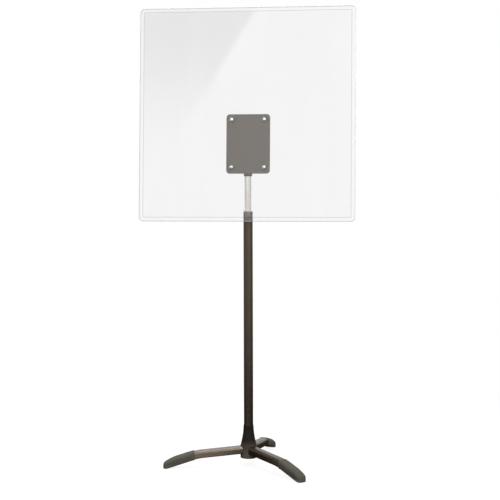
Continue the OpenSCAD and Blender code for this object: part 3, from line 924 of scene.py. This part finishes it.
def superellipse(z, half_x, half_y, power):
    """Ring at height z. Power 2 is an ellipse, a higher power nears a rectangle."""
    out = []
    for k in range(NECK_SEGMENTS):
        turn = 2 * math.pi * (k + 0.5) / NECK_SEGMENTS
        cos, sin = math.cos(turn), math.sin(turn)
        out.append((half_x * math.copysign(abs(cos) ** (2 / power), cos),
                    half_y * math.copysign(abs(sin) ** (2 / power), sin), z))
    return out


def build_neck():
    rings = [superellipse(NECK_LOW + up, radius, radius, 2) for radius, up in NECK_ROUND]
    change_steps = 12   # from round to tongue
    for k in range(1, change_steps + 1):
        part = k / change_steps
        eased = part * part * (3 - 2 * part)
        rings.append(superellipse(NECK_LOW + 46 + 12 * part,
                                  NECK_R + (TONGUE_HALF_X - NECK_R) * eased,
                                  NECK_R + (12.95 - NECK_R) * eased, 2 + 8 * eased))
    rings.append(superellipse(NECK_LOW + 66, TONGUE_HALF_X, TONGUE_R, 12))
    rings.append(superellipse(NECK_LOW + 78, TONGUE_HALF_X, TONGUE_R, 14))
    top_steps = 22
    for k in range(top_steps):
        turn = math.radians(90.0 * k / top_steps)
        rings.append(superellipse(PIVOT_Z + TONGUE_R * math.sin(turn), TONGUE_HALF_X,
                                  TONGUE_R * math.cos(turn), 14))
    verts, faces, numbers = loft(rings)
    faces += [tuple(numbers[0]), tuple(numbers[-1])]
    neck = new_piece("tilt_neck_forging", verts, faces)
    holes = [hole_along_x(PIN_R, PIN_Z, 32), hole_along_x(TILT_HOLE_R, PIVOT_Z, 64)]
    combine(neck, "DIFFERENCE", holes)
    sharpen(neck, 38)
    dress(neck, "paint", "mast", "tilt_neck")


build_neck()


# ---------------------------------------------------------------- head: back plate and panel
# In the head's frame both sheets lie in X and Z, in front of the tilt axis, towards -Y.

GAP, PLATE_T, SPACER_T, PANEL_T = 28.0, 2.5, 1.5, 6.0
PLATE_BACK = -GAP
PLATE_FRONT = PLATE_BACK - PLATE_T
PANEL_BACK = PLATE_FRONT - SPACER_T
PANEL_FRONT = PANEL_BACK - PANEL_T
PLATE_W, PLATE_H, PLATE_CORNER_R, PLATE_X = 118.0, 160.0, 9.5, 4.0
PANEL_W, PANEL_H, PANEL_CORNER_R, PANEL_Z = 583.0, 576.0, 12.5, 79.4
SCREWS = [(PLATE_X + sx * 44.0, sz * 64.0) for sx in (-1, 1) for sz in (-1, 1)]
RIVETS = [(sx * 22.0, sz * 35.0) for sx in (-1, 1) for sz in (-1, 1)]
PANEL_EDGE_R = 1.3
BEVEL, BEVEL_DEPTH = 11.9, 0.9      # the shallow bevel around the panel's front
LINE, LINE_DEPTH = 1.3, 0.12        # the narrow strip along the bevel's inner side


def screw_hole(x, z, radius, chamfer, front, back):
    steps = ((chamfer, front), (0.0, front + chamfer), (0.0, back - chamfer), (chamfer, back))
    return [(circle(x, z, radius + more, 32), y) for more, y in steps]


def build_plate():
    def outline(inset):
        loop = rounded_rectangle(PLATE_W - 2 * inset, PLATE_H - 2 * inset,
                                 PLATE_CORNER_R - inset, 12)
        return [(PLATE_X + x, z) for x, z in loop]

    stacks = [rounded_edges(outline, PLATE_FRONT, PLATE_BACK, edge=0.7, steps=4)]
    stacks += [screw_hole(x, z, 2.75, 0.25, PLATE_FRONT, PLATE_BACK) for x, z in SCREWS]
    countersink = ((4.25, PLATE_FRONT), (2.45, PLATE_FRONT + 1.6), (2.45, PLATE_BACK - 0.2),
                   (2.6, PLATE_BACK))
    stacks += [[(circle(x, z, radius, 48), y) for radius, y in countersink] for x, z in RIVETS]
    plate = sheet_with_holes("back_plate_sheet", stacks, HEAD)
    sharpen(plate, 40)
    weight_normals(plate)
    dress(plate, "paint", "head", "back_plate")


def edge_distance(x, z):
    """How far a point of the panel lies inside its outline."""
    out_x = abs(x) - (PANEL_W / 2 - PANEL_CORNER_R)
    out_z = abs(z - PANEL_Z) - (PANEL_H / 2 - PANEL_CORNER_R)
    beyond = math.hypot(out_x, out_z) if out_x > 0 and out_z > 0 else max(out_x, out_z)
    return PANEL_CORNER_R - beyond


def build_panel():
    def outline(inset):
        loop = rounded_rectangle(PANEL_W - 2 * inset, PANEL_H - 2 * inset,
                                 PANEL_CORNER_R - inset, 20)
        return [(x, z + PANEL_Z) for x, z in loop]

    rings = [(outline(BEVEL), PANEL_FRONT), (outline(BEVEL - LINE), PANEL_FRONT + LINE_DEPTH)]
    rings += rounded_edges(outline, PANEL_FRONT + BEVEL_DEPTH, PANEL_BACK, edge=PANEL_EDGE_R,
                           steps=3)
    stacks = [rings]
    stacks += [screw_hole(x, z, 3.2, 0.3, PANEL_FRONT, PANEL_BACK) for x, z in SCREWS]
    panel = sheet_with_holes("clear_panel_sheet", stacks, HEAD)
    sharpen(panel, 20)
    dress(panel, "clear", "head", "clear_panel",
          looks=["clear", "clear_edge", "clear_bevel", "clear_line"])
    across = (HEAD.to_3x3() @ Vector((0, 1, 0))).normalized()
    to_head = HEAD.inverted()
    for face in panel.data.polygons:
        flatness = abs(face.normal.dot(across))
        centre = to_head @ face.center
        inset = edge_distance(centre.x / MM, centre.z / MM)
        if flatness > 0.9995:
            face.material_index = 0
        elif flatness > 0.98:
            face.material_index = 3 if inset > BEVEL - LINE - 0.1 else 2
        else:
            face.material_index = 1
        face.use_smooth = flatness < 0.98


build_plate()
build_panel()


# ---------------------------------------------------------------- frame pieces that stay

# widths of softened edges, in metres
SOFT_EDGE = 0.00025
SOFT_EDGES = {"tilt_bracket": 0.0005, "panel_spacers": 0.0003, "leg_nuts": 0.0003,
              "base_bolt": 0.0004, "leg_bolts": 0.0004}

for name, piece in nodes.items():
    if piece.hide_render:
        continue
    look = "clear_disc" if name == "panel_washers" else slot_of[name]
    piece.data.materials.clear()
    piece.data.materials.append(MATS[look])
    weld = piece.modifiers.new("weld", "WELD")
    weld.merge_threshold = 2e-6
    bevel = piece.modifiers.new("soft_edges", "BEVEL")
    bevel.width = SOFT_EDGES.get(name, SOFT_EDGE)
    bevel.segments = 2
    bevel.limit_method = "ANGLE"
    bevel.angle_limit = math.radians(42)
    bevel.use_clamp_overlap = True
    weight_normals(piece)


# ---------------------------------------------------------------- stage, in metres: floor

# What the camera sees of the floor
FLOOR_SHADOW_SHARE = 0.12       # share of lit surface near the stand, the rest is pure white
FLOOR_SHADOW_FADE = (0.5, 1.4)  # distances over which that share fades out
# What light and reflections see of the floor
FLOOR_NEAR = (0.045, 0.029, 0.018)
PATCH_COLOUR, PATCH_AT, PATCH_FADE = (0.95, 0.86, 0.79), (-0.085, -0.20), (0.05, 0.15)
# glow with distance from the mast: (colour, distances over which it comes in)
MID_GLOW = ((0.36, 0.25, 0.165), (0.8, 4.0))
FAR_GLOW = ((0.95, 0.95, 0.95), (4.0, 14.0))
# glow to rays that come down steeply: colour, range of the ray's Z, distances
STEEP_COLOUR, STEEP_Z, STEEP_FADE = (0.56, 0.54, 0.515), (0.15, 0.27), (0.8, 1.7)


def floor_material():
    """Pale floor. To the camera it is white with a trace of soft shadow. To light and
    reflections it is darker and warm, glows more with distance and to steep rays, and has
    one pale patch near the mast on the -X, -Y side."""
    g = Graph(bpy.data.materials.new("pale_floor"))
    from_mast = g.node("VectorMath", {0: g.place}, operation="LENGTH").outputs["Value"]
    from_patch = g.node("VectorMath", {0: g.place, 1: (*PATCH_AT, 0.0)},
                        operation="DISTANCE").outputs["Value"]

    lit = g.node("BsdfDiffuse", {"Color": (0.95, 0.95, 0.95)}).outputs[0]
    white = g.node("Emission", {"Strength": 1.0}).outputs[0]
    whiteness = g.ease(from_mast, span=FLOOR_SHADOW_FADE, to=(1.0 - FLOOR_SHADOW_SHARE, 1.0))
    seen_floor = g.mix_shader(whiteness, lit, white)

    board_colour = g.mix(g.ease(from_patch, span=PATCH_FADE), PATCH_COLOUR, FLOOR_NEAR)
    board = g.node("BsdfDiffuse", {"Color": board_colour}).outputs[0]
    glow = (0.0, 0.0, 0.0)
    for colour, distances in (MID_GLOW, FAR_GLOW):
        glow = g.mix(g.ease(from_mast, span=distances), glow, colour)
    incoming = g.node("NewGeometry").outputs["Incoming"]
    ray_z = g.node("SeparateXYZ", {0: incoming}).outputs["Z"]
    steep = g.times(g.ease(ray_z, span=STEEP_Z), by=g.ease(from_mast, span=STEEP_FADE))
    room = g.node("Emission", {"Color": g.mix(steep, glow, STEEP_COLOUR)}).outputs[0]
    lighting_floor = g.node("AddShader", {0: board, 1: room}).outputs[0]
    return g.output(g.mix_shader(g.is_camera_ray(), lighting_floor, seen_floor))


def build_floor():
    bpy.ops.mesh.primitive_circle_add(vertices=96, radius=30.0, fill_type="NGON",
                                      location=(0, 0, 0))
    floor = bpy.context.object
    floor.name = "floor"
    floor.data.materials.append(floor_material())


build_floor()


# ---------------------------------------------------------------- world and lights

# Strengths of the studio by direction. Lift multiplies the sides and front above the horizon.
WORLD = {"back": 0.7, "side": 0.36, "front": 1.05, "lift": 1.35, "top": 0.30}


def build_world():
    """White to the camera. To light and reflections, a studio with a bright backdrop at +Y,
    dim sides, a bright front at -Y and some light from above."""
    world = bpy.data.worlds.new("studio")
    bpy.context.scene.world = world
    g = Graph(world, coordinate="Generated")
    direction = g.node("SeparateXYZ", {0: g.place}).outputs
    back = g.ease(direction["Y"], span=(0.25, 0.8), to=(0.0, WORLD["back"]))
    front = g.ease(direction["Y"], span=(0.1, -0.5), to=(WORLD["side"], WORLD["front"]))
    top = g.ease(direction["Z"], span=(0.15, 0.9), to=(0.0, WORLD["top"]))
    lift = g.ease(direction["Z"], span=(0.05, 0.32), to=(1.0, WORLD["lift"]))
    strength = g.plus(g.plus(back, g.times(front, by=lift)), top)
    studio = g.node("Background", {"Color": (1.0, 0.985, 0.965), "Strength": strength})
    white = g.node("Background", {"Color": (1, 1, 1), "Strength": 1.0})
    surface = g.mix_shader(g.is_camera_ray(), studio.outputs[0], white.outputs[0])
    g.output(surface, kind="OutputWorld")


def add_softbox(name, place, aim, size, watts, colour=(1, 1, 1)):
    light = bpy.data.lights.new(name, "AREA")
    light.shape = "SQUARE"
    light.size = size
    light.energy = watts
    light.color = colour
    softbox = bpy.data.objects.new(name, light)
    bpy.context.scene.collection.objects.link(softbox)
    softbox.location = place
    softbox.rotation_mode = "QUATERNION"
    softbox.rotation_quaternion = (Vector(place) - Vector(aim)).to_track_quat("Z", "Y")


build_world()
add_softbox("key", place=(1.9, -2.9, 2.1), aim=(0, 0, 0.4), size=1.5, watts=60.0,
            colour=(1.0, 0.98, 0.95))
add_softbox("fill", place=(-2.6, -1.6, 1.9), aim=(0, 0, 0.5), size=1.8, watts=5.0)
add_softbox("top", place=(0.1, 0.4, 3.0), aim=(0, 0, 0), size=2.2, watts=60.0)


# ---------------------------------------------------------------- camera

# View from the front, a little from the +X side, looking slightly down
LENS = 85.81
TURN, PITCH, ROLL = math.radians(6.299), math.radians(-3.653), math.radians(-0.131)
EYE = Vector((0.3606, -3.2206, 0.8010))


def build_camera():
    forward = Vector((-math.sin(TURN) * math.cos(PITCH), math.cos(TURN) * math.cos(PITCH),
                      math.sin(PITCH)))
    level = Vector((math.cos(TURN), math.sin(TURN), 0.0))
    above = level.cross(forward)
    right = level * math.cos(ROLL) + above * math.sin(ROLL)
    up = -level * math.sin(ROLL) + above * math.cos(ROLL)
    place = Matrix((right, up, -forward)).transposed().to_4x4()
    place.translation = EYE
    data = bpy.data.cameras.new("camera")
    data.lens = LENS
    data.sensor_width = 36.0
    data.sensor_fit = "HORIZONTAL"
    data.clip_start = 0.05
    data.clip_end = 200.0
    camera = bpy.data.objects.new("camera", data)
    bpy.context.scene.collection.objects.link(camera)
    camera.matrix_world = place
    bpy.context.scene.camera = camera


build_camera()


# ---------------------------------------------------------------- mirror card

CARD_Y = -4.6
# where the card's slanting edge shows on the panel: (x, z) about the tilt axis
CARD_LINE = ((0.012, 0.345), (-0.190, 0.012))
CARD_SOFT = 0.025               # half the width of the slanting edge, on the card
CARD_FADE = (0.33, -0.05)       # heights on the panel between which the dim side fades
CARD_DARK, CARD_BRIGHT = 0.12, 1.72
CARD_MARGIN, CARD_MARGIN_LOW = 0.7, 0.5


def reflected(x, z):
    """Where the ray from the eye to the panel's point (x, z) meets the card's plane."""
    normal = (HEAD.to_3x3() @ Vector((0, -1, 0))).normalized()
    point = HEAD @ Vector((x, PANEL_FRONT * MM, z))
    ray = (point - EYE).normalized()
    ray = ray - 2 * ray.dot(normal) * normal
    return point + ray * ((CARD_Y - point.y) / ray.y)


def card_material():
    """Glow split by the slanting edge: even on the +X side, fading with height on the other."""
    start, end = (reflected(x, z) for x, z in CARD_LINE)
    along = Vector((end.x - start.x, 0, end.z - start.z)).normalized()
    bright_side = Vector((-along.z, 0, along.x))
    if bright_side.x < 0:
        bright_side = -bright_side
    z_top, z_low = (reflected(-0.2, height).z for height in CARD_FADE)
    g = Graph(bpy.data.materials.new("mirror_card"))
    offset = g.node("VectorMath", {0: g.place, 1: start}, operation="SUBTRACT").outputs[0]
    from_line = g.node("VectorMath", {0: offset, 1: bright_side}, operation="DOT_PRODUCT")
    bright = g.ease(from_line.outputs["Value"], span=(-CARD_SOFT, CARD_SOFT))
    z = g.node("SeparateXYZ", {0: g.place}).outputs["Z"]
    fade = g.ease(z, span=(z_low, z_top), to=(CARD_BRIGHT, CARD_DARK))
    strength = g.node("Mix", {0: bright, 2: fade, 3: CARD_BRIGHT}, data_type="FLOAT").outputs[0]
    return g.output(g.node("Emission", {"Strength": strength}).outputs[0])


def build_mirror_card():
    """A card that only reflections see. Its slanting edge shows on the panel as a diagonal."""
    half_w, half_h, middle = PANEL_W * MM / 2, PANEL_H * MM / 2, PANEL_Z * MM
    corners = [reflected(sx * half_w, sz * half_h + middle) for sx in (-1, 1) for sz in (-1, 1)]
    low_x = min(c.x for c in corners) - CARD_MARGIN
    high_x = max(c.x for c in corners) + CARD_MARGIN
    low_z = min(c.z for c in corners) - CARD_MARGIN_LOW
    high_z = max(c.z for c in corners) + CARD_MARGIN
    mesh = bpy.data.meshes.new("mirror_card")
    mesh.from_pydata([(low_x, CARD_Y, low_z), (high_x, CARD_Y, low_z),
                      (high_x, CARD_Y, high_z), (low_x, CARD_Y, high_z)], [], [(0, 1, 2, 3)])
    card = bpy.data.objects.new("mirror_card", mesh)
    bpy.context.scene.collection.objects.link(card)
    mesh.materials.append(card_material())
    card.visible_camera = False
    card.visible_diffuse = False
    card.visible_shadow = False
    card.visible_transmission = False
    card.visible_volume_scatter = False


build_mirror_card()


# ---------------------------------------------------------------- view settings

view = bpy.context.scene.view_settings
view.view_transform = "Standard"
view.look = "None"
view.exposure = 0.0
view.gamma = 1.0
